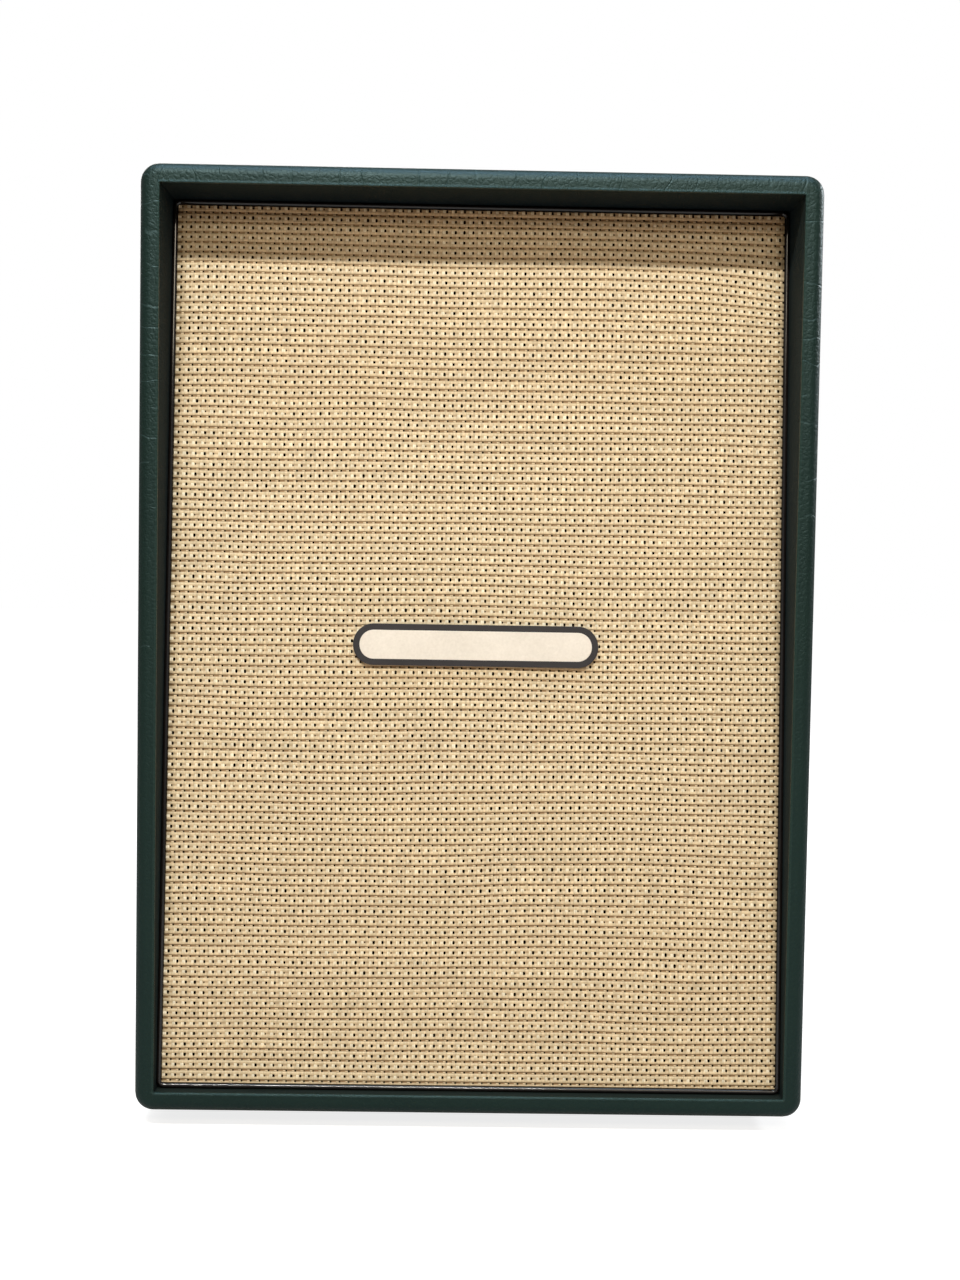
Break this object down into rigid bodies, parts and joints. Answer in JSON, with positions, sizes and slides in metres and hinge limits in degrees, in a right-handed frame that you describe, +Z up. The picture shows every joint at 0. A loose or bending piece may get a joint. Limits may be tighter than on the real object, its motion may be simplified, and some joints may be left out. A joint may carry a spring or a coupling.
{
  "type": "guitar speaker cabinet",
  "caption": "Upright guitar speaker cabinet in dark green vinyl with a leaning woven cloth grille, stacked speakers, recessed side handles and a jack dish at the back.",
  "frame": {"origin": "on the floor under the middle of the cabinet, at the bottom of the feet", "axes": "+X to the right seen from the front, +Y from the front into the cabinet, +Z up"},
  "size_m": [0.5512, 0.3, 0.771],
  "materials": {
    "plywood": "satin",
    "softwood": "rough",
    "painted_board": "satin",
    "vinyl": "satin",
    "cloth": "rough",
    "piping": "gloss",
    "hook_pad": "rough",
    "badge": "gloss",
    "inlay": "satin",
    "black_steel": "satin",
    "plate_steel": "satin",
    "ferrite": "rough",
    "zinc": "satin",
    "black_screw": "satin",
    "gasket": "rough",
    "surround": "rough",
    "paper": "rough",
    "coil": "satin",
    "spider": "rough",
    "terminal": "satin",
    "jack_body": "satin",
    "lead": "satin",
    "handle": "satin",
    "foot": "rough"
  },
  "bodies": {
    "cabinet": {"top_panel": "plywood", "bottom_panel": "plywood", "left_side_panel": "plywood", "right_side_panel": "plywood", "vinyl_covering": "vinyl", "baffle_board": "plywood", "baffle_side_battens": "softwood", "baffle_cross_battens": "softwood", "rear_side_battens": "softwood", "rear_cross_battens": "softwood", "rear_panel": "painted_board", "rear_panel_screws": "black_screw", "baffle_screws": "zinc", "grille_frame": "plywood", "grille_cloth": "cloth", "grille_piping": "piping", "grille_fastener_pads": "hook_pad", "badge_plate": "badge", "badge_inlay": "inlay", "speaker_bolts": "black_screw", "speaker_tee_nuts": "zinc", "jack_dish": "black_steel", "input_jack": "jack_body", "link_jack": "jack_body", "jack_nuts": "zinc", "jack_dish_screws": "black_screw", "upper_speaker_lead": "lead", "lower_speaker_lead": "lead", "left_handle": "handle", "right_handle": "handle", "handle_screws": "black_screw", "front_left_foot": "foot", "front_right_foot": "foot", "rear_left_foot": "foot", "rear_right_foot": "foot", "foot_screws": "zinc", "upper_gasket": "gasket", "upper_basket": "black_steel", "upper_surround": "surround", "upper_spider": "spider", "upper_front_plate": "plate_steel", "upper_magnet": "ferrite", "upper_yoke": "plate_steel", "upper_terminals": "terminal", "lower_gasket": "gasket", "lower_basket": "black_steel", "lower_surround": "surround", "lower_spider": "spider", "lower_front_plate": "plate_steel", "lower_magnet": "ferrite", "lower_yoke": "plate_steel", "lower_terminals": "terminal"},
    "upper_cone_assembly": {"upper_cone": "paper", "upper_dust_cap": "paper", "upper_voice_coil": "coil"},
    "lower_cone_assembly": {"lower_cone": "paper", "lower_dust_cap": "paper", "lower_voice_coil": "coil"}
  },
  "joints": [
    {"name": "upper_cone_travel", "type": "slide", "parent": "cabinet", "child": "upper_cone_assembly", "axis": [0, 0.9976, -0.0689], "range_m": [-0.003, 0.003], "stiffness_N_per_m": 10000, "deforming": ["upper_surround", "upper_spider"]},
    {"name": "lower_cone_travel", "type": "slide", "parent": "cabinet", "child": "lower_cone_assembly", "axis": [0, 0.9976, -0.0689], "range_m": [-0.003, 0.003], "stiffness_N_per_m": 10000, "deforming": ["lower_surround", "lower_spider"]}
  ]
}
